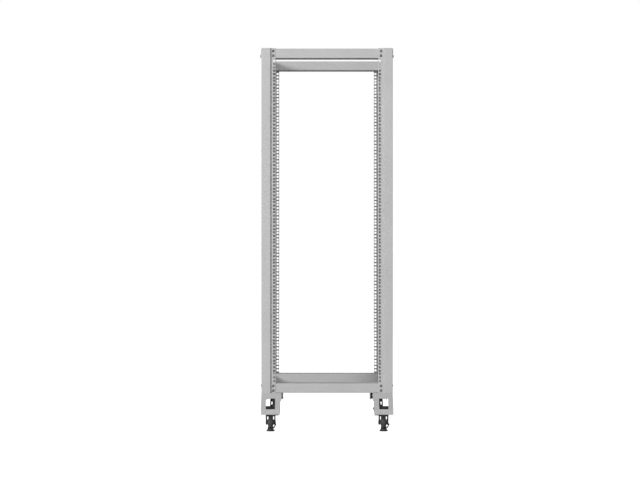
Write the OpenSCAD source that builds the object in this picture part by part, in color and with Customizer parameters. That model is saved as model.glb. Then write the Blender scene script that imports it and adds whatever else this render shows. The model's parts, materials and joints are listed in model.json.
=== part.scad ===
// Open-frame four-post server rack on levelling casters.
// Millimetres, +Z up, origin on the floor at the middle of the footprint.
// The front of the rack faces -Y. Sheet parts are drawn as bent strips.

/* [Rack] */
// Number of rack units
units = 32; // [12:1:42]
// Depth between the front and the rear mounting rails
rail_depth = 736.6; // [600:0.1:900]
// Clear width between the two rails of one pair
opening_w = 450; // [450:1:456]
// Overall width over the posts
frame_w = 577.2; // [560:0.2:620]
// Sheet thickness of posts, beams and brackets
sheet = 2; // [1.5:0.1:2.5]

/* [Posts] */
// How far the outer panel of a post stands in front of its rail
panel_proud = 8; // [6:0.5:12]
// Width of the rail flange that carries the square holes
flange_w = 25.5; // [24:0.5:30]
// Depth of the outer side wall behind the rail
wall_d = 95; // [90:1:110]
// Side of a square cage-nut hole
hole_side = 9.5; // [9:0.1:10]

/* [Beams] */
// Height of every beam
beam_h = 42; // [38:1:50]
// Depth of a cross beam, front to back
beam_d = 86; // [80:1:90]
// Free height between a beam and the nearest rack unit
unit_gap = 4; // [3:0.5:10]

/* [Legs] */
// Height of the frame's underside above the floor
frame_z = 164; // [160:1:180]
// Height of the bracket's lower edge above the floor
skirt_z = 75; // [74:1:78]
// How far the bracket reaches out from the rail
bracket_reach = 88; // [86:1:92]
// Width of the window in the bracket
window_w = 40; // [30:1:44]

/* [Casters] */
// Sideways distance of a caster from the middle of the rack
caster_x = 247.4; // [244:0.2:250]
// Distance of a caster from its rail, outwards
caster_out = 41; // [40:0.5:42]
// Wheel diameter
wheel_dia = 60; // [58:1:60]
// Width of the wheel's tread
wheel_w = 20; // [18:1:20]
// How far the wheel hangs above the floor while the foot carries the load
wheel_lift = 4; // [3:0.5:5]
// Diameter of the foot pad
pad_dia = 36; // [32:1:40]

/* [Hidden] */
$fn = 48;
UNIT = 44.45;
UNIT_HOLES = [6.35, 22.225, 38.1];
RAIL_HOLE_X = 465.12 / 2;
BEND_STEPS = 4;
BEND_R = sheet * 0.9;
EPS = 1;

rail_y = rail_depth / 2;
post_out = frame_w / 2;
jog_x = opening_w / 2 + flange_w;
base_z = frame_z + beam_h + unit_gap;
top_beam_z = base_z + units * UNIT + unit_gap;
post_top = top_beam_z + beam_h + sheet;
lip_d = 18;
return_w = 20;

// Screws: M6 with button heads
SHANK_R = 3;
HOLE_R = 3.3;
HEAD_R = 6;
HEAD_H = 4;
SOCKET_R = 2.3;
SOCKET_D = 2.4;
NUT_R = 5.77;
NUT_H = 5;
beam_bolt_x = 237;
beam_bolt_z = [10.5, 31];
side_bolt_y = [300, 345];
top_side_bolt_z = 10.5;
low_side_bolt_z = 31;
bracket_bolt_x = [252, 272];
bracket_bolt_y = rail_y - 10;

// Beams
cross_half = 280;
cross_out = rail_y - sheet;
beam_lip = 14;
side_half = rail_y - wall_d - 2;
lap_half = rail_y - 4;
side_w = 30;
side_lip = 8;
lap_inset = 3;
top_side_x = post_out + sheet;
low_side_x = post_out - sheet;

// Leg brackets
bracket_in = 206.8;
flare_in = 200;
flare_low = 110;
flare_high = 134;
slope_foot_z = 95;
shelf_z = 94;
shelf_h = 3;
window_low = 99;
window_high = 142;
skirt_lip = 10;
gusset_back = 88;
gusset_toe = 2;
gusset_heel_z = 150;
tab_reach = gusset_back - lip_d + 4;
nut_plate_side = 64;
nut_plate_toe = 29.5;
nut_plate_h = 10;

// Casters, as heights above the floor and radii from the swivel axis
caster_y = rail_y + caster_out;
PLATE_SIDE = 72;
PLATE_H = 5;
BOLT_SPACING = 50;
CUP_R = 23;
CUP_H = 7;
KINGPIN_R = 6;
KINGPIN_LOW = 72;
SWIVEL_GAP = 0.3;
FIT = 0.05;
plate_z = shelf_z - PLATE_H;
cup_z = plate_z - CUP_H;
crown_top = cup_z - SWIVEL_GAP;
CROWN_LOW = 65;
CROWN_R = 21;
ARM_IN = 16;
ARM_T = 5;
ARM_HIGH = CROWN_LOW + 6;
ARM_ROOT_Y = [-14, 20];
ARM_NECK = [-4, 46];
ARM_HEEL = [14, 27];
TRAIL = 47;
AXLE_R = 4;
AXLE_HEAD_R = 6.5;
AXLE_HEAD_T = 1.5;
ARM_END_R = 9;
BOSS_R = 7;
axle_z = wheel_dia / 2 + wheel_lift;
STEM_R = 5;
STEM_LOW = 6;
STEM_TOP = 58;
BORE_TOP = 68;
BARREL_R = 9.6;
BARREL_LOW = 28;
BELL_R = 15;
BELL_HIGH = 49;
NECK_LOW = 54;
BRIDGE_Y = [-4, 5];
BRIDGE_Z = [30, 50];
BELL_BORE_R = 12.2;
BELL_BORE_TOP = 36.5;
RING_R = 11.5;
RING_LOW = 16.8;
RING_TOP = 26.8;
RING_NOTCHES = 18;
PAD_TOP = 12;
PAD_NECK_R = 12.2;
COLLAR_R = 12.5;
COLLAR_LOW = 12.4;
COLLAR_TOP = 16.4;
LEVER_ANGLE = -38;
LEVER_T = 4;
CRANK_IN = 15;
CRANK_OUT = 17.5;
TIP_HALF = 2.2;
KNOB_R = 5;
KNOB_AT = [26, 31];
KNOB_SEAT = KNOB_AT.y - KNOB_R - 0.3;
PIN_R = 1.6;
PIN_TOP = KNOB_AT.y + 1;

// Each corner: name, side (-1 left, 1 right), end (-1 front, 1 rear)
CORNERS = [["fl", -1, -1], ["fr", 1, -1], ["rl", -1, 1], ["rr", 1, 1]];
SIDES = [["left", -1], ["right", 1]];
ENDS = [["front", -1], ["rear", 1]];
CORNER_PARTS = [
    "post", "leg_bracket", "caster_plate", "caster_fork", "caster_axle", "caster_wheel",
    "foot_stem", "foot_pad", "adjuster_ring", "ratchet_lever", "lever_knob"
];
BEAM_PARTS = [
    "top_beam_front", "top_beam_rear", "bottom_beam_front", "bottom_beam_rear",
    "top_beam_left", "top_beam_right", "bottom_beam_left", "bottom_beam_right"
];
FASTENERS = [
    "beam_bolts", "beam_nuts", "side_bolts", "side_nuts",
    "bracket_bolts", "bracket_nuts", "caster_bolts", "nut_plates"
];

STEEL = [0.74, 0.74, 0.75];
ZINC = [0.62, 0.63, 0.65];
BLACK = [0.10, 0.10, 0.11];
NYLON = [0.20, 0.20, 0.21];

// ---- Bent sheet sections ----

function unit(v) = v / norm(v);
function left_of(v) = [-v.y, v.x];
function turned(v, a) = [v.x * cos(a) - v.y * sin(a), v.x * sin(a) + v.y * cos(a)];
function reversed(list) = [for (i = [len(list) - 1:-1:0]) list[i]];

// Points along one bend of a sheet, off to the left of its middle line
function bend_points(p, a, b, off) =
    let (
        turn = atan2(cross(a, b), a * b),
        way = sign(turn),
        centre = p - BEND_R * tan(abs(turn) / 2) * a + way * BEND_R * left_of(a),
        start = (off - way * BEND_R) * left_of(a)
    )
    [for (k = [0:BEND_STEPS]) centre + turned(start, turn * k / BEND_STEPS)];

// One side of a bent sheet whose middle line is the path
function side_points(path, off) =
    let (last = len(path) - 1)
    [for (i = [0:last])
        each i == 0 ? [path[0] + off * left_of(unit(path[1] - path[0]))]
            : i == last ? [path[i] + off * left_of(unit(path[i] - path[i - 1]))]
            : bend_points(path[i], unit(path[i] - path[i - 1]), unit(path[i + 1] - path[i]), off)
    ];

module sheet_section(path)
    polygon(concat(side_points(path, sheet / 2), reversed(side_points(path, -sheet / 2))));

// ---- Placing ----

module flip(axis, on) {
    if (on) mirror(axis) children();
    else children();
}

// A part drawn for the right rear corner, put at any corner
module at_corner(side, end)
    flip([1, 0, 0], side < 0) flip([0, 1, 0], end < 0) children();

// Rear casters are turned half round, so every wheel trails towards the middle
module at_caster(side, end)
    translate([side * caster_x, end * caster_y, 0]) rotate(end > 0 ? 180 : 0) children();

// A section drawn in Y and Z, run along X from x0 to x1
module along_x(x0, x1)
    translate([x0, 0, 0]) rotate([90, 0, 90]) linear_extrude(x1 - x0) children();

// A section drawn in X and Z, run along Y from y0 to y1
module along_y(y0, y1)
    translate([0, y1, 0]) rotate([90, 0, 0]) linear_extrude(y1 - y0) children();

// ---- Fasteners: head on the XY plane, shank down -Z ----

module bolt(length) {
    difference() {
        union() {
            cylinder(r = HEAD_R, h = HEAD_H * 0.4);
            translate([0, 0, HEAD_H * 0.4]) cylinder(r1 = HEAD_R, r2 = HEAD_R * 0.6, h = HEAD_H * 0.6);
            translate([0, 0, -length]) cylinder(r = SHANK_R, h = length);
        }
        translate([0, 0, HEAD_H - SOCKET_D]) cylinder(r = SOCKET_R, h = SOCKET_D + EPS, $fn = 6);
    }
}

module nut()
    difference() {
        cylinder(r = NUT_R, h = NUT_H, $fn = 6);
        translate([0, 0, -EPS]) cylinder(r = SHANK_R, h = NUT_H + 2 * EPS);
    }

module at_beam_bolts(z0)
    for (dz = beam_bolt_z)
        translate([beam_bolt_x, rail_y, z0 + dz]) rotate([-90, 0, 0]) children();

module at_side_bolts(x, z)
    for (y = side_bolt_y)
        translate([x, y, z]) rotate([0, 90, 0]) children();

module at_bracket_bolts(z)
    for (x = bracket_bolt_x)
        translate([x, bracket_bolt_y, z]) rotate([180, 0, 0]) children();

module at_plate_holes()
    for (x = [-1, 1])
        for (y = [-1, 1])
            translate([x * BOLT_SPACING / 2, y * BOLT_SPACING / 2, 0]) children();

module through(depth) translate([0, 0, -depth]) cylinder(r = HOLE_R, h = depth + EPS);

module every_corner() for (c = CORNERS) at_corner(c[1], c[2]) children();

module beam_bolts()
    color(ZINC) every_corner() {
        at_beam_bolts(frame_z) bolt(2 * sheet + NUT_H + 2);
        at_beam_bolts(top_beam_z) bolt(2 * sheet + NUT_H + 2);
    }

module beam_nuts()
    color(ZINC) every_corner() {
        at_beam_bolts(frame_z) translate([0, 0, -2 * sheet - NUT_H]) nut();
        at_beam_bolts(top_beam_z) translate([0, 0, -2 * sheet - NUT_H]) nut();
    }

module side_bolts()
    color(ZINC) every_corner() {
        at_side_bolts(post_out, frame_z + low_side_bolt_z) bolt(3 * sheet + NUT_H + 2);
        at_side_bolts(top_side_x, top_beam_z + top_side_bolt_z) bolt(2 * sheet + NUT_H + 2);
    }

module side_nuts()
    color(ZINC) every_corner() {
        at_side_bolts(post_out - 3 * sheet - NUT_H, frame_z + low_side_bolt_z) nut();
        at_side_bolts(top_side_x - 2 * sheet - NUT_H, top_beam_z + top_side_bolt_z) nut();
    }

module bracket_bolts()
    color(ZINC) every_corner() at_bracket_bolts(frame_z - sheet) bolt(2 * sheet + NUT_H + 2);

module bracket_nuts()
    color(ZINC) every_corner()
        at_bracket_bolts(frame_z + sheet) translate([0, 0, -NUT_H]) nut();

module caster_bolts()
    color(ZINC)
        for (c = CORNERS)
            at_caster(c[1], c[2]) at_plate_holes()
                translate([0, 0, plate_z]) rotate([180, 0, 0]) bolt(PLATE_H + shelf_h + nut_plate_h);

// Tapped plates that clamp the shelves from above, shorter towards the sloping front plate
module nut_plates()
    color(BLACK)
        for (c = CORNERS)
            at_caster(c[1], c[2]) difference() {
                translate([-nut_plate_side / 2, -nut_plate_toe, shelf_z + shelf_h])
                    cube([nut_plate_side, nut_plate_side / 2 + nut_plate_toe, nut_plate_h]);
                at_plate_holes() cylinder(r = SHANK_R, h = post_top);
            }

// ---- Frame, drawn for the right rear corner ----

module post_section()
    sheet_section([
        [opening_w / 2 + sheet / 2, rail_y - lip_d],
        [opening_w / 2 + sheet / 2, rail_y - sheet / 2],
        [jog_x - sheet / 2, rail_y - sheet / 2],
        [jog_x - sheet / 2, rail_y + panel_proud - sheet / 2],
        [post_out - sheet / 2, rail_y + panel_proud - sheet / 2],
        [post_out - sheet / 2, rail_y - wall_d + sheet / 2],
        [post_out - return_w, rail_y - wall_d + sheet / 2]
    ]);

// Room for the beam ends: the inner lip and the rear return are cut away
module beam_notches(z0)
    translate([0, 0, z0]) {
        translate([opening_w / 2 - EPS, rail_y - lip_d - EPS, 0])
            cube([lip_d, lip_d + EPS - sheet, beam_h + unit_gap]);
        translate([post_out - return_w - EPS, rail_y - wall_d - EPS, 0])
            cube([return_w + EPS - sheet, lip_d, beam_h + unit_gap]);
    }

module rack_holes()
    for (u = [0:units - 1])
        for (dz = UNIT_HOLES)
            translate([
                RAIL_HOLE_X - hole_side / 2,
                rail_y - sheet - EPS,
                base_z + u * UNIT + dz - hole_side / 2
            ])
                cube([hole_side, sheet + 2 * EPS, hole_side]);

module post()
    color(STEEL)
        difference() {
            translate([0, 0, frame_z]) linear_extrude(post_top - frame_z) post_section();
            beam_notches(frame_z - EPS);
            beam_notches(top_beam_z - unit_gap + EPS + sheet);
            rack_holes();
            at_beam_bolts(frame_z) through(2 * sheet);
            at_beam_bolts(top_beam_z) through(2 * sheet);
            at_side_bolts(post_out, frame_z + low_side_bolt_z) through(2 * sheet);
            at_side_bolts(post_out, top_beam_z + top_side_bolt_z) through(2 * sheet);
        }

// Channel open downwards, closed on top, with lips along its lower edges
module cross_section(z0)
    sheet_section([
        [cross_out - beam_lip, z0 + sheet / 2],
        [cross_out - sheet / 2, z0 + sheet / 2],
        [cross_out - sheet / 2, z0 + beam_h - sheet / 2],
        [cross_out - beam_d + sheet / 2, z0 + beam_h - sheet / 2],
        [cross_out - beam_d + sheet / 2, z0 + sheet / 2],
        [cross_out - beam_d + beam_lip, z0 + sheet / 2]
    ]);

module cross_beam(z0, end)
    color(STEEL)
        flip([0, 1, 0], end < 0)
            difference() {
                along_x(-cross_half, cross_half) cross_section(z0);
                for (side = [-1, 1])
                    flip([1, 0, 0], side < 0) {
                        at_beam_bolts(z0) through(3 * sheet);
                        if (z0 == frame_z)
                            at_bracket_bolts(z0) through(2 * sheet);
                    }
            }

module side_section(x, z0)
    sheet_section([
        [x - side_lip, z0 + sheet / 2],
        [x - sheet / 2, z0 + sheet / 2],
        [x - sheet / 2, z0 + beam_h - sheet / 2],
        [x - side_w + sheet / 2, z0 + beam_h - sheet / 2],
        [x - side_w + sheet / 2, z0 + sheet / 2],
        [x - side_w + side_lip, z0 + sheet / 2]
    ]);

// Side channel between the posts, with a flat lap at each end for its bolts
module side_beam(x, z0, bolt_z, side)
    color(STEEL)
        flip([1, 0, 0], side < 0)
            difference() {
                union() {
                    along_y(-side_half, side_half) side_section(x, z0);
                    translate([x - sheet, -lap_half, z0 + lap_inset])
                        cube([sheet, 2 * lap_half, beam_h - 2 * lap_inset]);
                }
                for (end = [-1, 1])
                    flip([0, 1, 0], end < 0) at_side_bolts(x, z0 + bolt_z) through(2 * sheet);
            }

// ---- Leg bracket, drawn for the right rear corner ----

function slope_y(z) = rail_y + panel_proud
    + (bracket_reach - panel_proud) * (frame_z - z) / (frame_z - slope_foot_z);

// Sloping front plate, upright skirt and a lip turned in along the bottom
module bracket_front()
    difference() {
        along_x(flare_in, post_out)
            sheet_section([
                [rail_y - gusset_back, frame_z - sheet / 2],
                [rail_y + panel_proud - sheet / 2, frame_z - sheet / 2],
                [rail_y + bracket_reach - sheet / 2, slope_foot_z],
                [rail_y + bracket_reach - sheet / 2, skirt_z + sheet / 2],
                [rail_y + bracket_reach - skirt_lip, skirt_z + sheet / 2]
            ]);
        along_y(0, caster_y * 2)
            polygon([
                [flare_in - EPS, skirt_z - EPS],
                [bracket_in, skirt_z - EPS],
                [bracket_in, flare_low],
                for (a = [0:15:90])
                    [
                        flare_in + (bracket_in - flare_in) * cos(a),
                        flare_low + (flare_high - flare_low) * sin(a)
                    ],
                [flare_in - EPS, flare_high]
            ]);
        translate([caster_x - window_w / 2, rail_y, window_low])
            cube([window_w, bracket_reach + EPS, window_high - window_low]);
    }

// Side outline of the bracket, inside its front plate
module gusset_outline()
    polygon([
        [rail_y - gusset_back, frame_z - EPS],
        [rail_y + panel_proud - sheet, frame_z - EPS],
        [rail_y + bracket_reach - 1.5 * sheet, slope_foot_z],
        [rail_y + bracket_reach - 1.5 * sheet, skirt_z],
        [rail_y + gusset_toe, skirt_z],
        [rail_y - gusset_back, gusset_heel_z]
    ]);

module leg_bracket()
    color(STEEL)
        difference() {
            union() {
                bracket_front();
                along_x(post_out - sheet, post_out) gusset_outline();
                along_x(bracket_in, bracket_in + sheet) gusset_outline();
                translate([bracket_in, rail_y + gusset_toe, shelf_z])
                    cube([post_out - bracket_in, bracket_reach - gusset_toe - sheet, shelf_h]);
                translate([low_side_x - 2 * sheet, rail_y - gusset_back, frame_z - sheet])
                    cube([sheet, tab_reach, beam_h]);
            }
            at_bracket_bolts(frame_z - sheet) through(2 * sheet);
            at_side_bolts(low_side_x - sheet, frame_z + low_side_bolt_z) through(2 * sheet);
            translate([caster_x, caster_y, shelf_z - EPS])
                at_plate_holes() cylinder(r = HOLE_R, h = shelf_h + 2 * EPS);
        }

// ---- Levelling caster, drawn about its own swivel axis ----

module caster_plate()
    color(BLACK)
        difference() {
            union() {
                translate([-PLATE_SIDE / 2, -PLATE_SIDE / 2, plate_z])
                    cube([PLATE_SIDE, PLATE_SIDE, PLATE_H]);
                translate([0, 0, cup_z]) cylinder(r = CUP_R, h = CUP_H);
                translate([0, 0, KINGPIN_LOW]) cylinder(r = KINGPIN_R, h = cup_z - KINGPIN_LOW + EPS);
            }
            translate([0, 0, plate_z - EPS])
                at_plate_holes() cylinder(r = HOLE_R, h = PLATE_H + 2 * EPS);
        }

module arm_outline() {
    polygon([
        [ARM_ROOT_Y[0], ARM_HIGH],
        ARM_NECK,
        [ARM_NECK.x, BARREL_LOW],
        ARM_HEEL,
        [TRAIL - 1, axle_z - ARM_END_R + 0.05],
        [TRAIL + ARM_END_R / 2, axle_z + ARM_END_R - 1.3],
        [ARM_ROOT_Y[1], ARM_HIGH]
    ]);
    translate([TRAIL, axle_z]) circle(r = ARM_END_R);
}

// Bell-mouthed barrel that the foot screws into
module barrel()
    rotate_extrude()
        polygon([
            [STEM_R + FIT, BELL_BORE_TOP],
            [BELL_BORE_R, BELL_BORE_TOP],
            [BELL_BORE_R, BARREL_LOW],
            [BELL_R - 1.5, BARREL_LOW],
            [BELL_R, BARREL_LOW + 6],
            [BELL_R, BELL_HIGH],
            [BARREL_R, NECK_LOW],
            [BARREL_R, BORE_TOP],
            [STEM_R + FIT, BORE_TOP]
        ]);

module crown()
    rotate_extrude()
        polygon([
            [0, CROWN_LOW],
            [CROWN_R - 3, CROWN_LOW],
            [CROWN_R, CROWN_LOW + 4],
            [CROWN_R, crown_top - 1],
            [CROWN_R - 1, crown_top],
            [0, crown_top]
        ]);

module caster_fork()
    color(BLACK)
        difference() {
            union() {
                crown();
                barrel();
                for (s = [-1, 1])
                    flip([1, 0, 0], s < 0) {
                        along_x(ARM_IN, ARM_IN + ARM_T) arm_outline();
                        translate([BELL_R - 2, BRIDGE_Y[0], BRIDGE_Z[0]])
                            cube([ARM_IN - BELL_R + 3, BRIDGE_Y[1] - BRIDGE_Y[0], BRIDGE_Z[1] - BRIDGE_Z[0]]);
                        translate([wheel_w / 2 + 0.4, TRAIL, axle_z])
                            rotate([0, 90, 0]) cylinder(r = BOSS_R, h = ARM_IN - wheel_w / 2);
                    }
            }
            translate([0, 0, CROWN_LOW - EPS]) cylinder(r = STEM_R + FIT, h = BORE_TOP - CROWN_LOW + EPS);
            translate([0, 0, KINGPIN_LOW - SWIVEL_GAP])
                cylinder(r = KINGPIN_R + FIT, h = crown_top - KINGPIN_LOW + EPS);
            translate([-ARM_IN - ARM_T - EPS, TRAIL, axle_z]) rotate([0, 90, 0])
                cylinder(r = AXLE_R + FIT, h = 2 * (ARM_IN + ARM_T + EPS));
        }

module caster_axle()
    color(ZINC)
        translate([0, TRAIL, axle_z])
            rotate([0, 90, 0]) {
                translate([0, 0, -ARM_IN - ARM_T]) cylinder(r = AXLE_R, h = 2 * (ARM_IN + ARM_T));
                for (s = [-1, 1])
                    flip([0, 0, 1], s < 0)
                        translate([0, 0, ARM_IN + ARM_T])
                            cylinder(r1 = AXLE_HEAD_R, r2 = AXLE_HEAD_R - 1.5, h = AXLE_HEAD_T);
            }

// Wheel with a rounded tread, dished sides and a raised hub
module caster_wheel() {
    r = wheel_dia / 2;
    h = wheel_w / 2;
    half = [
        [AXLE_R + FIT, h], [BOSS_R + 1, h], [BOSS_R + 2, h - 3], [r - 9, h - 3],
        [r - 7, h - 0.5], [r - 4, h - 0.5], for (a = [75:-15:0]) [r - 4 + 4 * cos(a), h - 4.5 + 4 * sin(a)]
    ];
    color(NYLON)
        translate([0, TRAIL, axle_z])
            rotate([0, 90, 0])
                rotate_extrude($fn = 72)
                    polygon(concat(half, [for (p = reversed(half)) [p.x, -p.y]]));
}

module foot_stem()
    color(ZINC)
        translate([0, 0, STEM_LOW]) {
            cylinder(r = STEM_R, h = STEM_TOP - STEM_LOW - 1);
            translate([0, 0, STEM_TOP - STEM_LOW - 1]) cylinder(r1 = STEM_R, r2 = STEM_R - 1, h = 1);
        }

module foot_pad()
    color(NYLON)
        rotate_extrude()
            polygon([
                [0, 0],
                [pad_dia / 2 - 1, 0],
                [pad_dia / 2, 1],
                [pad_dia / 2, 3],
                for (a = [0:15:90])
                    [
                        pad_dia / 2 - (pad_dia / 2 - PAD_NECK_R) * sin(a),
                        PAD_TOP - 1 - (PAD_TOP - 4) * cos(a)
                    ],
                [PAD_NECK_R, PAD_TOP],
                [STEM_R + FIT, PAD_TOP],
                [STEM_R + FIT, STEM_LOW - SWIVEL_GAP],
                [0, STEM_LOW - SWIVEL_GAP]
            ]);

module adjuster_ring()
    color(BLACK)
        difference() {
            translate([0, 0, RING_LOW]) cylinder(r = RING_R, h = RING_TOP - RING_LOW);
            translate([0, 0, RING_LOW - EPS]) cylinder(r = STEM_R, h = RING_TOP - RING_LOW + 2 * EPS);
            for (k = [0:RING_NOTCHES - 1])
                rotate(k * 360 / RING_NOTCHES)
                    translate([RING_R + 0.4, 0, RING_LOW - EPS])
                        cylinder(r = 1.2, h = RING_TOP - RING_LOW + 2 * EPS, $fn = 16);
        }

// Cranked arm of the ratchet, from the collar out to the knob's seat
module lever_arm()
    translate([0, LEVER_T / 2, 0])
        rotate([90, 0, 0])
            linear_extrude(LEVER_T)
                polygon([
                    [COLLAR_R - 3, COLLAR_LOW],
                    [CRANK_OUT, COLLAR_LOW],
                    [KNOB_AT.x + TIP_HALF, KNOB_SEAT],
                    [KNOB_AT.x - TIP_HALF, KNOB_SEAT],
                    [CRANK_IN, COLLAR_TOP],
                    [COLLAR_R - 3, COLLAR_TOP]
                ]);

module ratchet_lever()
    color(BLACK)
        rotate(LEVER_ANGLE)
            union() {
                difference() {
                    translate([0, 0, COLLAR_LOW]) cylinder(r = COLLAR_R, h = COLLAR_TOP - COLLAR_LOW);
                    translate([0, 0, COLLAR_LOW - EPS])
                        cylinder(r = STEM_R + FIT, h = COLLAR_TOP - COLLAR_LOW + 2 * EPS);
                }
                lever_arm();
                translate([KNOB_AT.x, 0, KNOB_SEAT - EPS])
                    cylinder(r = PIN_R, h = PIN_TOP - KNOB_SEAT + EPS);
            }

module lever_knob()
    color(BLACK)
        rotate(LEVER_ANGLE)
            translate([KNOB_AT.x, 0, 0])
                difference() {
                    translate([0, 0, KNOB_AT.y]) sphere(r = KNOB_R, $fn = 36);
                    translate([0, 0, KNOB_SEAT])
                        cylinder(r = PIN_R + FIT, h = PIN_TOP - KNOB_SEAT + SWIVEL_GAP);
                }

// ---- Drawing ----

for (c = CORNERS) {
    at_corner(c[1], c[2]) post();
    at_corner(c[1], c[2]) leg_bracket();
    at_caster(c[1], c[2]) caster_plate();
    at_caster(c[1], c[2]) caster_fork();
    at_caster(c[1], c[2]) caster_axle();
    at_caster(c[1], c[2]) caster_wheel();
    at_caster(c[1], c[2]) foot_stem();
    at_caster(c[1], c[2]) foot_pad();
    at_caster(c[1], c[2]) adjuster_ring();
    at_caster(c[1], c[2]) ratchet_lever();
    at_caster(c[1], c[2]) lever_knob();
}
for (e = ENDS) {
    cross_beam(top_beam_z, e[1]);
    cross_beam(frame_z, e[1]);
}
for (s = SIDES) {
    side_beam(top_side_x, top_beam_z, top_side_bolt_z, s[1]);
    side_beam(low_side_x, frame_z, low_side_bolt_z, s[1]);
}
beam_bolts();
beam_nuts();
side_bolts();
side_nuts();
bracket_bolts();
bracket_nuts();
caster_bolts();
nut_plates();
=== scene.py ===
"""Looks of the open-frame server rack: finishes, fine pieces, light and camera.

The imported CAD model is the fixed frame. Everything here is in metres, +Z up, and the rack faces -Y.
"""
import json
import math

import bmesh
import bpy
from mathutils import Matrix, Vector


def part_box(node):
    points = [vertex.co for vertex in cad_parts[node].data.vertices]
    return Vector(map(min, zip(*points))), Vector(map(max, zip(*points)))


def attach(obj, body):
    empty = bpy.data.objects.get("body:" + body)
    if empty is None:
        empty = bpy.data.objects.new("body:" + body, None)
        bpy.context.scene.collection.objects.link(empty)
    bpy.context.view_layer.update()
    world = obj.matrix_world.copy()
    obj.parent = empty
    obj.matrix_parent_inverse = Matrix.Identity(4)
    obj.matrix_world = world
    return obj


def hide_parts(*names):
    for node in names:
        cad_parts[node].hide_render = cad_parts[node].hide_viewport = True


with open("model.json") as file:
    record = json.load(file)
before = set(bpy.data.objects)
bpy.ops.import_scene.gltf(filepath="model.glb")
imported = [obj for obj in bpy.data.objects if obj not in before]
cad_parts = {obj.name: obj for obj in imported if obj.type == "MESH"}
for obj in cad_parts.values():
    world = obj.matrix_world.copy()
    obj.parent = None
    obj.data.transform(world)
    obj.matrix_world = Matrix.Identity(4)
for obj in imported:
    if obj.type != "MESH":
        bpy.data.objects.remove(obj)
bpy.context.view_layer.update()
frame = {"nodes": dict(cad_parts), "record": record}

MM = 0.001
NODES = frame["nodes"]
CORNERS = ("fl", "fr", "rl", "rr")


# ---- Camera and light ----

# The camera is level and a little left of the rack's middle plane
CAMERA_X = -0.031
CAMERA_Z = 0.8364
CAMERA_TO_RAIL = 9.005
CAMERA_LENS = 115.2
SENSOR = 36.0
CLIP_END = 100


def front_rail_y():
    """Face of the front mounting rails, from the record's mount."""
    for mount in frame["record"]["mounts"]:
        if mount["name"] == "front_rails":
            return mount["pos_m"][1]
    raise ValueError("the record has no front_rails mount")


def set_plain_tones():
    """Shows white as white, so the studio's background stays plain."""
    bpy.context.scene.view_settings.view_transform = "Standard"


def add_camera():
    data = bpy.data.cameras.new("camera")
    data.lens = CAMERA_LENS
    data.sensor_width = SENSOR
    data.clip_end = CLIP_END
    camera = bpy.data.objects.new("camera", data)
    camera.location = (CAMERA_X, front_rail_y() - CAMERA_TO_RAIL, CAMERA_Z)
    camera.rotation_euler = (math.radians(90), 0, 0)
    bpy.context.scene.collection.objects.link(camera)
    bpy.context.scene.camera = camera


# Soft lights: name, place, height of the point they aim at, disc size and power
LIGHTS = (
    ("key", (-6.2, -7.0, 3.6), 0.8, 2.0, 565),
    ("front", (1.5, -9.0, 2.0), 0.9, 4.0, 90),
    ("back", (5.0, 6.5, 3.5), 0.8, 3.0, 150),
)


def add_area_light(name, place, target_z, size, watts):
    """A round soft light that aims at the rack's middle."""
    data = bpy.data.lights.new(name, "AREA")
    data.shape = "DISK"
    data.size = size
    data.energy = watts
    light = bpy.data.objects.new(name, data)
    light.location = place
    aim = Vector((0, 0, target_z)) - Vector(place)
    light.rotation_euler = aim.to_track_quat("-Z", "Y").to_euler()
    bpy.context.scene.collection.objects.link(light)


WORLD_SHOWN = 1.0
WORLD_LIGHT = 0.33


def add_world():
    """A white studio: bright where it is seen, softer as a light."""
    world = bpy.data.worlds.new("studio")
    bpy.context.scene.world = world
    world.use_nodes = True
    tree = world.node_tree
    tree.nodes.clear()
    out = tree.nodes.new("ShaderNodeOutputWorld")
    mix = tree.nodes.new("ShaderNodeMixShader")
    path = tree.nodes.new("ShaderNodeLightPath")
    light = tree.nodes.new("ShaderNodeBackground")
    shown = tree.nodes.new("ShaderNodeBackground")
    light.inputs["Strength"].default_value = WORLD_LIGHT
    shown.inputs["Strength"].default_value = WORLD_SHOWN
    for background in (light, shown):
        background.inputs["Color"].default_value = (1, 1, 1, 1)
    tree.links.new(path.outputs["Is Camera Ray"], mix.inputs["Fac"])
    tree.links.new(light.outputs[0], mix.inputs[1])
    tree.links.new(shown.outputs[0], mix.inputs[2])
    tree.links.new(mix.outputs[0], out.inputs["Surface"])


FLOOR_SIZE = 400.0
FLOOR_PAINT = 0.72
FLOOR_ROUGHNESS = 0.9
FLOOR_GLOW = 0.78


def add_floor():
    """A plain pale floor, bright enough to run into the white background."""
    mesh = bpy.data.meshes.new("floor")
    half = FLOOR_SIZE / 2
    corners = [(-half, -half, 0), (half, -half, 0), (half, half, 0), (-half, half, 0)]
    mesh.from_pydata(corners, [], [(0, 1, 2, 3)])
    floor = bpy.data.objects.new("floor", mesh)
    bpy.context.scene.collection.objects.link(floor)
    material = bpy.data.materials.new("floor_white")
    material.use_nodes = True
    tree = material.node_tree
    shader = tree.nodes["Principled BSDF"]
    shader.inputs["Base Color"].default_value = (FLOOR_PAINT, FLOOR_PAINT, FLOOR_PAINT, 1)
    shader.inputs["Roughness"].default_value = FLOOR_ROUGHNESS
    shader.inputs["Specular IOR Level"].default_value = 0.0
    shader.inputs["Emission Color"].default_value = (1, 1, 1, 1)
    path = tree.nodes.new("ShaderNodeLightPath")
    glow = tree.nodes.new("ShaderNodeMath")
    glow.operation = "MULTIPLY"
    glow.inputs[1].default_value = FLOOR_GLOW
    tree.links.new(path.outputs["Is Camera Ray"], glow.inputs[0])
    tree.links.new(glow.outputs[0], shader.inputs["Emission Strength"])
    mesh.materials.append(material)


# ---- Materials ----

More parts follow.
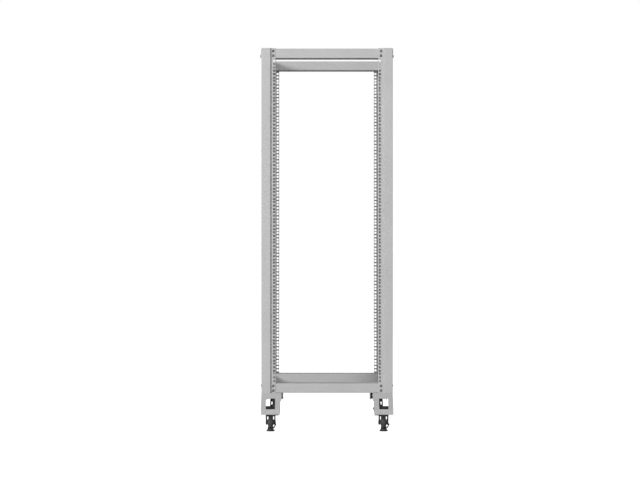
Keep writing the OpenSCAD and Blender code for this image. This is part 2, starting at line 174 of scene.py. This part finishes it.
class Look:
    """One procedural material: a Principled shader and short helpers for its nodes."""

    def __init__(self, name, **sockets):
        self.material = bpy.data.materials.new(name)
        self.material.use_nodes = True
        self.tree = self.material.node_tree
        self.shader = self.tree.nodes["Principled BSDF"]
        for socket, value in sockets.items():
            self.shader.inputs[socket.replace("_", " ")].default_value = value
        self.coords = self.tree.nodes.new("ShaderNodeTexCoord").outputs["Object"]
        self.relief = None

    def link(self, source, target):
        self.tree.links.new(source, target)

    def noise(self, scale, detail=3.0, stretch=None):
        """Noise in object space; scale is in features per metre."""
        node = self.tree.nodes.new("ShaderNodeTexNoise")
        node.inputs["Scale"].default_value = scale
        node.inputs["Detail"].default_value = detail
        coords = self.coords
        if stretch:
            mapping = self.tree.nodes.new("ShaderNodeMapping")
            mapping.inputs["Scale"].default_value = stretch
            self.link(coords, mapping.inputs["Vector"])
            coords = mapping.outputs["Vector"]
        self.link(coords, node.inputs["Vector"])
        return node.outputs["Fac"]

    def ramp(self, value, low, high, dark=0.0, light=1.0):
        """Stretches a value between low and high onto dark to light."""
        node = self.tree.nodes.new("ShaderNodeMapRange")
        node.inputs["From Min"].default_value = low
        node.inputs["From Max"].default_value = high
        node.inputs["To Min"].default_value = dark
        node.inputs["To Max"].default_value = light
        self.link(value, node.inputs["Value"])
        return node.outputs["Result"]

    def mix(self, factor, first, second):
        """Colour mix: first and second are RGB tuples or colour sockets."""
        node = self.tree.nodes.new("ShaderNodeMix")
        node.data_type = "RGBA"
        self.link(factor, node.inputs["Factor"])
        for value, socket in ((first, node.inputs[6]), (second, node.inputs[7])):
            if isinstance(value, tuple):
                socket.default_value = (*value, 1)
            else:
                self.link(value, socket)
        return node.outputs[2]

    def product(self, first, second):
        node = self.tree.nodes.new("ShaderNodeMath")
        node.operation = "MULTIPLY"
        self.link(first, node.inputs[0])
        self.link(second, node.inputs[1])
        return node.outputs[0]

    def coordinate(self, axis):
        node = self.tree.nodes.new("ShaderNodeSeparateXYZ")
        self.link(self.coords, node.inputs[0])
        return node.outputs[axis]

    def sideways_from(self, middle):
        """Distance in X from the nearer of the two planes at +middle and -middle."""
        value = self.coordinate("X")
        for operation, offset in (("ABSOLUTE", None), ("SUBTRACT", middle), ("ABSOLUTE", None)):
            node = self.tree.nodes.new("ShaderNodeMath")
            node.operation = operation
            self.link(value, node.inputs[0])
            if offset is not None:
                node.inputs[1].default_value = offset
            value = node.outputs[0]
        return value

    def colour(self, socket):
        self.link(socket, self.shader.inputs["Base Color"])

    def roughness(self, socket):
        self.link(socket, self.shader.inputs["Roughness"])

    def bump(self, value, strength, distance):
        """Adds one layer of relief on top of the layers before it."""
        node = self.tree.nodes.new("ShaderNodeBump")
        node.inputs["Strength"].default_value = strength
        node.inputs["Distance"].default_value = distance
        self.link(value, node.inputs["Height"])
        if self.relief is not None:
            self.link(self.relief, node.inputs["Normal"])
        self.relief = node.outputs["Normal"]
        self.link(self.relief, self.shader.inputs["Normal"])


# Where the fork's inner faces turn from the barrel's grey to the arms' black
ARM_FACE = (0.0148, 0.0156)


def caster_x():
    """Sideways place of the casters, from the record's foot mounts."""
    feet = [mount for mount in frame["record"]["mounts"] if mount["name"].startswith("foot_face")]
    return max(mount["pos_m"][0] for mount in feet)


PAINT = (0.53, 0.53, 0.532)
PAINT_DARK = (0.505, 0.505, 0.508)
DUST = (0.42, 0.405, 0.38)
DUST_HEIGHTS = (0.20, 0.07)


def powder_coat():
    """Light grey powder coat: orange peel, faint cloudiness, fine scuffs, a little dust down low."""
    look = Look("powder_coat_grey", Metallic=0.0, Specular_IOR_Level=0.42)
    cloud = look.ramp(look.noise(7.0, 4.0), 0.35, 0.65)
    body = look.mix(cloud, PAINT, PAINT_DARK)
    low_down = look.ramp(look.coordinate("Z"), *DUST_HEIGHTS)
    patchy = look.ramp(look.noise(60.0, 5.0), 0.42, 0.62, 0.0, 0.35)
    look.colour(look.mix(look.product(low_down, patchy), body, DUST))
    look.roughness(look.ramp(look.noise(90.0, 4.0), 0.3, 0.7, 0.40, 0.52))
    look.bump(look.noise(900.0, 2.0), 0.16, 0.00012)
    look.bump(look.noise(220.0, 2.0), 0.08, 0.0003)
    return look.material


def zinc():
    """Zinc-plated steel, slightly cloudy, with a fine turned grain."""
    look = Look("zinc_plate", Metallic=1.0, Specular_IOR_Level=0.5)
    cloud = look.ramp(look.noise(320.0, 3.0), 0.35, 0.7)
    look.colour(look.mix(cloud, (0.58, 0.59, 0.60), (0.44, 0.45, 0.48)))
    look.roughness(look.ramp(look.noise(700.0, 3.0), 0.3, 0.7, 0.26, 0.44))
    look.bump(look.noise(2600.0, 2.0), 0.10, 0.00005)
    return look.material


def dark_steel():
    """Dark plated steel of the screws and nuts, brighter where a key has rubbed it."""
    look = Look("dark_plated_steel", Metallic=1.0, Specular_IOR_Level=0.5)
    rub = look.ramp(look.noise(420.0, 4.0), 0.50, 0.74, 0.0, 0.7)
    look.colour(look.mix(rub, (0.26, 0.26, 0.265), (0.40, 0.40, 0.405)))
    look.roughness(look.ramp(look.noise(650.0, 3.0), 0.3, 0.7, 0.36, 0.52))
    look.bump(look.noise(2300.0, 2.0), 0.12, 0.00005)
    return look.material


def black_casting():
    """Die casting with a sand grain: greyer on the barrel and darker on the arms, set by sideways
    distance from the caster's line, with lighter patches at random.
    """
    look = Look("black_casting", Metallic=0.0, Specular_IOR_Level=0.4)
    rub = look.ramp(look.noise(180.0, 5.0), 0.50, 0.72, 0.0, 0.8)
    barrel = look.mix(rub, (0.058, 0.058, 0.060), (0.090, 0.090, 0.092))
    arms = look.mix(rub, (0.012, 0.012, 0.013), (0.026, 0.026, 0.028))
    look.colour(look.mix(look.ramp(look.sideways_from(caster_x()), *ARM_FACE), barrel, arms))
    look.roughness(look.ramp(look.noise(300.0, 3.0), 0.3, 0.7, 0.42, 0.58))
    look.bump(look.noise(1500.0, 3.0), 0.22, 0.00012)
    return look.material


def black_steel():
    """Black electro-coated steel, thinner and glossier than the casting."""
    look = Look("black_coated_steel", Metallic=0.0, Specular_IOR_Level=0.3)
    streak = look.ramp(look.noise(140.0, 4.0, (1, 1, 6)), 0.45, 0.7, 0.0, 0.5)
    look.colour(look.mix(streak, (0.012, 0.012, 0.013), (0.028, 0.028, 0.030)))
    look.roughness(look.ramp(look.noise(400.0, 3.0), 0.3, 0.7, 0.40, 0.54))
    look.bump(look.noise(1100.0, 2.0), 0.10, 0.00006)
    return look.material


def moulded_nylon():
    """Dark grey moulded nylon with scuffed, dusty patches."""
    look = Look("moulded_nylon", Metallic=0.0, Specular_IOR_Level=0.45)
    scuff = look.ramp(look.noise(240.0, 6.0), 0.52, 0.75, 0.0, 0.7)
    look.colour(look.mix(scuff, (0.040, 0.040, 0.042), (0.085, 0.083, 0.080)))
    look.roughness(look.ramp(look.noise(350.0, 4.0), 0.3, 0.7, 0.42, 0.60))
    look.bump(look.noise(1900.0, 3.0), 0.14, 0.00007)
    return look.material


def dark_rubber():
    """Matt dark rubber with a fine grain and floor dust."""
    look = Look("dark_rubber", Metallic=0.0, Specular_IOR_Level=0.3)
    dust = look.ramp(look.noise(420.0, 6.0), 0.5, 0.72, 0.0, 0.6)
    look.colour(look.mix(dust, (0.026, 0.026, 0.026), (0.075, 0.072, 0.068)))
    look.roughness(look.ramp(look.noise(500.0, 3.0), 0.3, 0.7, 0.66, 0.82))
    look.bump(look.noise(1600.0, 3.0), 0.25, 0.00010)
    return look.material


def knob_plastic():
    """Glossy black phenolic of the lever's ball."""
    look = Look("knob_plastic", Metallic=0.0, Specular_IOR_Level=0.35)
    swirl = look.ramp(look.noise(500.0, 4.0), 0.4, 0.7)
    look.colour(look.mix(swirl, (0.006, 0.006, 0.007), (0.012, 0.012, 0.013)))
    look.roughness(look.ramp(look.noise(800.0, 3.0), 0.3, 0.7, 0.24, 0.34))
    look.bump(look.noise(1200.0, 2.0), 0.05, 0.00004)
    return look.material


LOOKS = {
    "frame_paint": powder_coat(),
    "zinc_steel": zinc(),
    "dark_steel": dark_steel(),
    "caster_body": black_casting(),
    "caster_metal": black_steel(),
    "caster_nylon": moulded_nylon(),
    "foot_rubber": dark_rubber(),
    "knob_plastic": knob_plastic(),
}


# ---- CAD nodes that stay: softened edges and finishes ----

WELD_DISTANCE = 0.00002
FLAT_ANGLE = math.radians(0.5)
SHARP_ANGLE = math.radians(24)
EDGE_SOFTNESS = {
    "frame_paint": 0.00035, "zinc_steel": 0.0003, "dark_steel": 0.0003,
    "caster_body": 0.0009, "caster_metal": 0.0005, "caster_nylon": 0.0004,
}


def soften(piece, width):
    """Joins split corners, merges flat faces and rounds the sharp edges."""
    weld = piece.modifiers.new("weld", "WELD")
    weld.merge_threshold = WELD_DISTANCE
    flat = piece.modifiers.new("flat_faces", "DECIMATE")
    flat.decimate_type = "DISSOLVE"
    flat.angle_limit = FLAT_ANGLE
    bevel = piece.modifiers.new("soft_edges", "BEVEL")
    bevel.width = width
    bevel.segments = 2
    bevel.limit_method = "ANGLE"
    bevel.angle_limit = SHARP_ANGLE


def finish_cad_nodes():
    for part in frame["record"]["subparts"]:
        piece = NODES[part["node"]]
        piece.data.materials.clear()
        piece.data.materials.append(LOOKS[part["material_slot"]])
        if part["material_slot"] in EDGE_SOFTNESS:
            soften(piece, EDGE_SOFTNESS[part["material_slot"]])


# ---- Mesh helpers ----

def new_piece(name, build, slot, body, smooth=40):
    """Makes a mesh object with build(bm), gives it a finish and lets it ride on a body."""
    bm = bmesh.new()
    build(bm)
    bmesh.ops.recalc_face_normals(bm, faces=bm.faces)
    for face in bm.faces:
        face.smooth = True
    mesh = bpy.data.meshes.new(name)
    bm.to_mesh(mesh)
    bm.free()
    mesh.set_sharp_from_angle(angle=math.radians(smooth))
    mesh.materials.append(LOOKS[slot])
    piece = bpy.data.objects.new(name, mesh)
    bpy.context.scene.collection.objects.link(piece)
    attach(piece, body)
    return piece


def lathe(bm, profile, matrix, steps, radius_at=None):
    """Turns (radius, height) points about local Z. A closed profile makes a ring.

    radius_at(angle, radius, height) may change a point's radius, for ribs and flutes.
    """
    rings = []
    for k in range(steps):
        angle = 2 * math.pi * k / steps
        ring = []
        for radius, height in profile:
            r = radius_at(angle, radius, height) if radius_at else radius
            point = Vector((r * math.cos(angle), r * math.sin(angle), height))
            ring.append(bm.verts.new(matrix @ point))
        rings.append(ring)
    for k in range(steps):
        here, there = rings[k], rings[(k + 1) % steps]
        for i in range(len(profile)):
            j = (i + 1) % len(profile)
            bm.faces.new((here[i], here[j], there[j], there[i]))


def arc(cx, cy, radius, start, end, steps):
    """Points along an arc in the profile plane, angles in degrees."""
    turn = (end - start) / steps
    angles = [math.radians(start + turn * k) for k in range(steps + 1)]
    return [(cx + radius * math.cos(a), cy + radius * math.sin(a)) for a in angles]


def scaled(profile):
    """A profile in millimetres, in metres."""
    return [(r * MM, h * MM) for r, h in profile]


def centre_of(node):
    """Middle of a CAD node's box."""
    low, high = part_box(node)
    return (low + high) / 2


# ---- Caster wheel ----

WHEEL_STEPS = 96
WHEEL_RIBS = 10
RIB_SPAN = (8.6, 22.2)
RIB_HEIGHTS = (6.0, 8.6)
RIB_ROOT_HALF = 1.3
RIB_END_HALF = 0.9
RIB_TOP_TAPER = 0.7
TREAD_GROOVE_R = 29.2


def wheel_profile():
    """Half a wheel in millimetres from the bore out to the tread, then mirrored."""
    half = [(4.3, 0.2), (4.3, 9.2), (5.0, 9.9)]
    half += [(8.2, 9.9), (8.6, 9.6), (9.0, 8.4), (9.6, 6.6), (10.6, 6.2)]
    half += [(20.5, 6.2), (21.6, 6.7), (22.3, 8.9), (23.0, 9.6)]
    half += arc(25.6, 5.4, 4.3, 84, 8, 8)
    half += [(30.0, 4.4), (30.0, 1.4), (TREAD_GROOVE_R, 1.0), (TREAD_GROOVE_R, 0.0)]
    return scaled(half + [(r, -h) for r, h in reversed(half[:-1])])


def build_wheel(bm, centre):
    turn = Matrix.Translation(centre) @ Matrix.Rotation(math.radians(90), 4, "Y")
    lathe(bm, wheel_profile(), turn, WHEEL_STEPS)
    for side in (-1, 1):
        for k in range(WHEEL_RIBS):
            spin = Matrix.Rotation(2 * math.pi * k / WHEEL_RIBS, 4, "Z")
            add_rib(bm, turn @ spin, side)


def add_rib(bm, matrix, side):
    """A tapered rib on the wheel's dished side, from the hub to the rim."""
    inner, outer = RIB_SPAN
    low, high = RIB_HEIGHTS
    outline = [
        (inner, -RIB_ROOT_HALF), (outer, -RIB_END_HALF), (outer, RIB_END_HALF), (inner, RIB_ROOT_HALF)
    ]
    base = [bm.verts.new(matrix @ (Vector((x, y, side * low)) * MM)) for x, y in outline]
    top = [
        bm.verts.new(matrix @ (Vector((x, y * RIB_TOP_TAPER, side * high)) * MM)) for x, y in outline
    ]
    bm.faces.new(top)
    bm.faces.new(base)
    for i in range(4):
        j = (i + 1) % 4
        bm.faces.new((base[i], base[j], top[j], top[i]))


def add_wheels():
    for corner in CORNERS:
        node = f"caster_wheel_{corner}"
        centre = centre_of(node)
        piece = new_piece(
            f"wheel_{corner}", lambda bm: build_wheel(bm, centre), "caster_nylon", f"wheel_body_{corner}"
        )
        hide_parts(node)


# ---- Foot: nylon cone on a rubber sole ----

SOLE_TOP = 3.6
CONE_STEPS = 96
SOLE_STEPS = 72
FOOT_FLUTES = 12
FLUTE_DEPTH = 0.0005
FLUTE_LOW = 4.2
FLUTE_HIGH = 10.6
FLUTE_FADE_LOW = 1.5
FLUTE_FADE_HIGH = 2.5


def cone_radius(angle, radius, height):
    """Shallow flutes round the cone, fading out at its neck and at its foot."""
    h = height / MM
    fade_low = max(0.0, min(1.0, (h - FLUTE_LOW) / FLUTE_FADE_LOW))
    fade_high = max(0.0, min(1.0, (FLUTE_HIGH - h) / FLUTE_FADE_HIGH))
    return radius - FLUTE_DEPTH * fade_low * fade_high * (0.5 + 0.5 * math.cos(FOOT_FLUTES * angle))


def cone_profile():
    """The nylon cone, from its bore out over the neck and down to the sole."""
    points = [(5.06, 5.8), (5.06, 11.6), (5.5, 12.0), (11.6, 12.0), (12.1, 11.5)]
    points += [(12.7, 10.7), (13.7, 9.2), (14.7, 7.8), (15.7, 6.4), (16.5, 5.3), (17.1, 4.6)]
    return scaled(points + [(17.3, SOLE_TOP), (0.4, SOLE_TOP), (0.4, 5.8)])


def sole_profile():
    """The rubber sole, hollow underneath and round at both outer edges."""
    points = [(0.4, 0.9), (11.5, 0.9), (12.0, 0.0), (16.9, 0.0)]
    points += arc(17.2, 0.8, 0.8, -90, 0, 4) + [(18.0, 2.6)]
    points += arc(17.2, 2.8, 0.8, 0, 90, 4) + [(0.4, SOLE_TOP)]
    return scaled(points)


def add_feet():
    for corner in CORNERS:
        node = f"foot_pad_{corner}"
        place = Matrix.Translation(Vector((*centre_of(node)[:2], 0)))
        body = f"foot_body_{corner}"
        top = new_piece(
            f"foot_cone_{corner}",
            lambda bm: lathe(bm, cone_profile(), place, CONE_STEPS, cone_radius), "caster_nylon", body
        )
        bottom = new_piece(
            f"foot_sole_{corner}",
            lambda bm: lathe(bm, sole_profile(), place, SOLE_STEPS), "foot_rubber", body
        )
        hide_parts(node)
        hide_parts(node)


# ---- Screws ----

def screw_profile(length):
    """Domed head over a thin flange, then the shank, in millimetres from its end up."""
    points = [(0.05, -length), (2.4, -length), (3.0, -length + 0.7), (3.0, 0.0)]
    points += [(5.95, 0.0), (6.0, 0.3), (6.0, 0.9), (5.7, 1.15), (5.3, 1.25)]
    points += arc(0.0, -2.1, 6.05, 33, 62, 7)
    points += [(2.55, 3.5), (2.3, 3.1), (2.3, 1.5), (0.05, 1.3)]
    return scaled(points)


SCREW_STEPS = 36
SOCKET_FLOOR = 1.2
SOCKET_RIM_R = 2.7
SOCKET_GROWTH = 1.05


def hex_socket(angle, radius, height):
    """Turns the round of the socket into a hexagon and leaves everything else round."""
    if height <= SOCKET_FLOOR * MM or radius >= SOCKET_RIM_R * MM:
        return radius
    sixth = math.pi / 3
    offset = (angle % sixth) - sixth / 2
    return radius * math.cos(sixth / 2) / math.cos(offset) * SOCKET_GROWTH


def islands(mesh):
    """Groups of connected vertices, as lists of positions, from a mesh whose corners may be split."""
    bm = bmesh.new()
    bm.from_mesh(mesh)
    bmesh.ops.remove_doubles(bm, verts=bm.verts, dist=WELD_DISTANCE)
    bm.verts.ensure_lookup_table()
    seen = set()
    groups = []
    for start in bm.verts:
        if start.index in seen:
            continue
        seen.add(start.index)
        stack, group = [start], []
        while stack:
            vert = stack.pop()
            group.append(vert.co.copy())
            for edge in vert.link_edges:
                other = edge.other_vert(vert)
                if other.index not in seen:
                    seen.add(other.index)
                    stack.append(other)
        groups.append(group)
    bm.free()
    return groups


def box_of(points):
    low = Vector(min(p[i] for p in points) for i in range(3))
    high = Vector(max(p[i] for p in points) for i in range(3))
    return low, high


HEAD_HEIGHT = 4.0
SHANK_REACH = 4.5


def screw_frame(points):
    """Matrix that puts a screw drawn along local Z onto a CAD screw, and its length under the head."""
    low, high = box_of(points)
    size = high - low
    middle = (low + high) / 2
    along = max(range(3), key=lambda i: size[i])
    across = [i for i in range(3) if i != along]
    head = [
        p[along] for p in points
        if math.hypot(*(p[i] - middle[i] for i in across)) > SHANK_REACH * MM
    ]
    way = 1 if sum(head) / len(head) > middle[along] else -1
    seat = middle.copy()
    seat[along] += way * (size[along] / 2 - HEAD_HEIGHT * MM)
    axis = Vector([way if i == along else 0 for i in range(3)])
    turn = axis.to_track_quat("Z", "Y").to_matrix().to_4x4()
    return Matrix.Translation(seat) @ turn, size[along] / MM - HEAD_HEIGHT


SCREW_GROUPS = ("beam_bolts", "side_bolts", "bracket_bolts", "caster_bolts")


def add_screws():
    """Domed socket screws in place of the plain CAD ones."""
    for group in SCREW_GROUPS:
        places = [screw_frame(points) for points in islands(NODES[group].data)]

        def build(bm):
            for matrix, length in places:
                lathe(bm, screw_profile(length), matrix, SCREW_STEPS, hex_socket)

        piece = new_piece(f"{group}_screws", build, "dark_steel", "frame", 30)
        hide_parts(group)


# ---- Lever knob ----

KNOB_STEPS = 48
KNOB_MARGIN = 0.00002
KNOB_GROOVE = 0.985
# Angles from the groove, where each half of the ball starts and ends
KNOB_EDGE = 4
KNOB_POLE = 88


def add_knobs():
    """A ball with a faint parting groove, on the end of the ratchet lever."""
    for corner in CORNERS:
        node = f"lever_knob_{corner}"
        centre = centre_of(node)
        low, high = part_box(node)
        radius = (high[2] - low[2]) / 2 - KNOB_MARGIN
        lower = arc(0, 0, radius, -KNOB_POLE, -KNOB_EDGE, 12)
        upper = arc(0, 0, radius, KNOB_EDGE, KNOB_POLE, 12)
        profile = lower + [(radius * KNOB_GROOVE, 0)] + upper
        piece = new_piece(
            f"knob_{corner}", lambda bm: lathe(bm, profile, Matrix.Translation(centre), KNOB_STEPS),
            "knob_plastic", f"lever_body_{corner}"
        )
        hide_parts(node)


# ---- Weld beads inside the leg brackets ----

BEAD_RADIUS = 1.7
BEAD_STEP = 1.5
BEAD_RIPPLE = 0.22
# Half turns of the ripple in one step
BEAD_WAVE = 0.8
BEAD_SIDES = 4
BEAD_FLATTEN = 0.86
END_TAPER = 3.5
END_SIZE = 0.45


def bead(bm, start, end, normal_a, normal_b):
    """A rippled quarter-round fillet between two plates that meet along start to end."""
    along = end - start
    count = max(4, int(along.length / (BEAD_STEP * MM)))
    rows = []
    for k in range(count + 1):
        t = k / count
        height = BEAD_RIPPLE if 0 < k < count else 0
        ripple = 1 + height * math.sin(k * math.pi * BEAD_WAVE)
        taper = min(1.0, END_TAPER * min(t, 1 - t) + END_SIZE)
        size = BEAD_RADIUS * MM * taper * ripple
        centre = start + along * t
        row = [bm.verts.new(centre)]
        for step in range(BEAD_SIDES + 1):
            a = math.radians(90 * step / BEAD_SIDES)
            bulge = 1.0 if step in (0, BEAD_SIDES) else BEAD_FLATTEN
            out = normal_a * math.cos(a) + normal_b * math.sin(a)
            row.append(bm.verts.new(centre + out * size * bulge))
        rows.append(row)
    for first, second in zip(rows, rows[1:]):
        size = len(first)
        for i in range(size):
            j = (i + 1) % size
            bm.faces.new((first[i], first[j], second[j], second[i]))
    bm.faces.new(rows[0])
    bm.faces.new(rows[-1])


SHEET = 2.0
SHELF_TOP = 97.0
# Sideways place of each bracket's inner side plate, and the front-to-rear places of the beads' ends
INNER_PLATE = 206.8
BEAD_ENDS = (372.0, 450.0)


def add_welds():
    """Beads where each bracket's shelf meets its two side plates."""
    for corner in CORNERS:
        low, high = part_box(f"leg_bracket_{corner}")
        right = 1 if corner[1] == "r" else -1
        rear = 1 if corner[0] == "r" else -1
        outer = (high.x if right > 0 else low.x) - right * SHEET * MM
        inner = right * (INNER_PLATE + SHEET) * MM
        near, far = (rear * end * MM for end in BEAD_ENDS)

        def build(bm):
            up = Vector((0, 0, 1))
            for x, inward in ((outer, -right), (inner, right)):
                start = Vector((x, near, SHELF_TOP * MM))
                end = Vector((x, far, SHELF_TOP * MM))
                bead(bm, start, end, Vector((inward, 0, 0)), up)

        new_piece(f"weld_beads_{corner}", build, "frame_paint", "frame", 60)


# ---- Scene ----

set_plain_tones()
add_camera()
add_world()
add_floor()
for light in LIGHTS:
    add_area_light(*light)
finish_cad_nodes()
add_wheels()
add_feet()
add_screws()
add_knobs()
add_welds()
